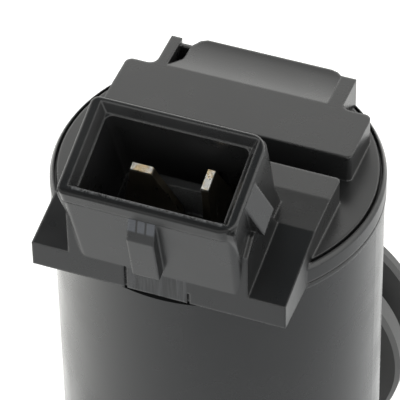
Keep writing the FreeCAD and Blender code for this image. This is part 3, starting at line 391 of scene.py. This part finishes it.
def plastics():
    """The housing, the pump's cover and the plastic pieces inside."""
    return [
        moulded(
            "housing_plastic",
            (0.0095, 0.0098, 0.0101),
            rough=0.26,
            grain=3600.0,
            depth=1e-6,
            wave=4e-6,
        ),
        moulded("cover_plastic", (0.024, 0.0245, 0.025), rough=0.34),
        moulded("impeller_plastic", (0.62, 0.62, 0.58), rough=0.38, vary=0.06),
        moulded("card_plastic", (0.46, 0.31, 0.16), rough=0.42, vary=0.12),
        moulded("washer_plastic", (0.58, 0.54, 0.44), rough=0.40, vary=0.08),
    ]


def rubbers():
    """The grommet and the seals."""
    return [
        moulded(
            "grommet_rubber",
            (0.060, 0.060, 0.060),
            rough=0.48,
            grain=2400.0,
            depth=8e-6,
            wave=3e-5,
            vary=0.35,
        ),
        moulded("seal_rubber", (0.016, 0.016, 0.017), rough=0.55, grain=2600.0, depth=6e-6),
    ]


def pressed_powders():
    """The magnets and the brushes."""
    return [
        moulded("ferrite", (0.050, 0.049, 0.050), rough=0.62, grain=1600.0, depth=1e-5, vary=0.3),
        moulded("carbon", (0.030, 0.030, 0.031), rough=0.58, grain=2000.0, depth=9e-6, vary=0.3),
    ]


def metals():
    """The metal pieces inside. The drawn, wound and stacked ones have lines from how they are made."""
    upright = (1.0, 1.0, 0.08)
    drawn = (1.0, 1.0, 0.05)
    wound = (1.0, 1.0, 8.0)
    stacked = (0.05, 0.05, 3.0)
    return [
        metal("stainless", (0.56, 0.56, 0.57), rough=0.24, grain=1800.0, stretch=upright),
        metal("yoke_steel", (0.52, 0.52, 0.50), rough=0.34, grain=1500.0, stretch=drawn),
        metal("bush_bronze", (0.50, 0.34, 0.18), rough=0.44, grain=2600.0, depth=6e-6),
        metal("spring_bronze", (0.62, 0.42, 0.22), rough=0.28),
        metal("copper", (0.72, 0.34, 0.20), rough=0.26, grain=2200.0, stretch=wound, depth=1.5e-5),
        metal(
            "core_steel",
            (0.34, 0.34, 0.35),
            rough=0.42,
            grain=1600.0,
            stretch=stacked,
            depth=2e-5,
        ),
    ]


def finish_pieces():
    """Gives every CAD piece the finish that its record names."""
    trees = [cap_material(), blade_material()]
    trees += plastics() + rubbers() + pressed_powders() + metals()
    finishes = {tree.name: tree.material for tree in trees}
    for part in frame["record"]["subparts"]:
        mesh = frame["nodes"][part["node"]].data
        mesh.materials.clear()
        mesh.materials.append(finishes[part["material_slot"]])


def floor_material():
    """A pale floor that holds the shadow and reads as white. The pump mirrors it dimmer on one side."""
    tree = Tree("floor")
    tree.nodes.remove(tree.shader)
    diffuse = tree.nodes.new("ShaderNodeBsdfDiffuse")
    tree.put(diffuse.inputs["Color"], tree.blend(tree.noise(3.0), FLOOR_GREY, FLOOR_PALE))
    path = tree.nodes.new("ShaderNodeLightPath").outputs
    seen = tree.math("MAXIMUM", path["Is Camera Ray"], path["Is Transmission Ray"])
    glow = tree.nodes.new("ShaderNodeEmission")
    tree.put(glow.inputs["Strength"], tree.scaled(seen, FLOOR_GLOW))
    lit = tree.nodes.new("ShaderNodeAddShader")
    tree.put(lit.inputs[0], diffuse.outputs["BSDF"])
    tree.put(lit.inputs[1], glow.outputs["Emission"])

    x, y = tree.axes()[:2]
    ahead = tree.math(
        "SUBTRACT", tree.scaled(x, sin(DIM_SIDE)), tree.scaled(y, cos(DIM_SIDE))
    )
    tint = tree.blend(tree.span(ahead, *TINT_RUN), WARM_TINT, COOL_TINT)
    mirrored = tree.nodes.new("ShaderNodeEmission")
    tree.put(mirrored.inputs["Color"], tint)
    tree.put(mirrored.inputs["Strength"], tree.span(ahead, *DIM_RUN, *DIM_LIGHT))

    mix = tree.nodes.new("ShaderNodeMixShader")
    tree.put(mix.inputs["Fac"], path["Is Glossy Ray"])
    tree.put(mix.inputs[1], lit.outputs["Shader"])
    tree.put(mix.inputs[2], mirrored.outputs["Emission"])
    tree.show(mix.outputs["Shader"])
    return tree.material


def lay_floor():
    """A wide square floor that is only there for the pictures."""
    signs = ((-1, -1), (1, -1), (1, 1), (-1, 1))
    corners = [(x * FLOOR_HALF, y * FLOOR_HALF, FLOOR_LEVEL) for x, y in signs]
    mesh = bpy.data.meshes.new("floor")
    mesh.from_pydata(corners, [], [(0, 1, 2, 3)])
    mesh.materials.append(floor_material())
    floor = bpy.data.objects.new("floor", mesh)
    scene.collection.objects.link(floor)


def light_world():
    """A soft studio: a bright band around the pump that fades out overhead, and white for the camera."""
    world = bpy.data.worlds.new("studio")
    scene.world = world
    world.use_nodes = True
    nodes, links = world.node_tree.nodes, world.node_tree.links
    nodes.clear()
    coords = nodes.new("ShaderNodeTexCoord")
    split = nodes.new("ShaderNodeSeparateXYZ")
    links.new(coords.outputs["Generated"], split.inputs["Vector"])
    ramp = nodes.new("ShaderNodeValToRGB")
    ramp.color_ramp.interpolation = "EASE"
    links.new(split.outputs["Z"], ramp.inputs["Fac"])
    stops = ramp.color_ramp.elements
    stops[0].position = 0.0
    stops[0].color = (*HORIZON, 1)
    stops[1].position = sin(radians(OVERHEAD_FROM))
    stops[1].color = (*OVERHEAD, 1)
    for elevation, level in BAND:
        stop = stops.new(sin(radians(elevation)))
        stop.color = (*(level * channel for channel in HORIZON), 1)
    studio = nodes.new("ShaderNodeBackground")
    studio.inputs["Strength"].default_value = STUDIO_STRENGTH
    links.new(ramp.outputs["Color"], studio.inputs["Color"])
    white = nodes.new("ShaderNodeBackground")
    white.inputs["Color"].default_value = (1, 1, 1, 1)
    path = nodes.new("ShaderNodeLightPath")
    mix = nodes.new("ShaderNodeMixShader")
    links.new(path.outputs["Is Camera Ray"], mix.inputs["Fac"])
    links.new(studio.outputs["Background"], mix.inputs[1])
    links.new(white.outputs["Background"], mix.inputs[2])
    output = nodes.new("ShaderNodeOutputWorld")
    links.new(mix.outputs["Shader"], output.inputs["Surface"])


def place_camera(azimuth, elevation, roll, distance, target, lens):
    """The photograph's camera: it looks at target from that azimuth, elevation and distance."""
    a, e, r = radians(azimuth), radians(elevation), radians(roll)
    back = Vector((sin(a) * cos(e), -cos(a) * cos(e), sin(e)))
    right = Vector((cos(a), sin(a), 0.0))
    up = back.cross(right)
    side = right * cos(r) + up * sin(r)
    top = up * cos(r) - right * sin(r)
    data = bpy.data.cameras.new("camera")
    data.lens = lens
    data.sensor_width = 36.0
    data.clip_start = 0.01
    data.clip_end = 20.0
    camera = bpy.data.objects.new("camera", data)
    axes = Matrix((side, top, back)).transposed().to_4x4()
    camera.matrix_world = Matrix.Translation(Vector(target) + back * distance) @ axes
    scene.collection.objects.link(camera)
    scene.camera = camera


finish_pieces()
lay_floor()
light_world()
place_camera(
    azimuth=21.751,
    elevation=43.603,
    roll=-1.281,
    distance=0.370856,
    target=(-0.002189, 0.000005, 0.056169),
    lens=306.7,
)
scene.view_settings.view_transform = "Standard"
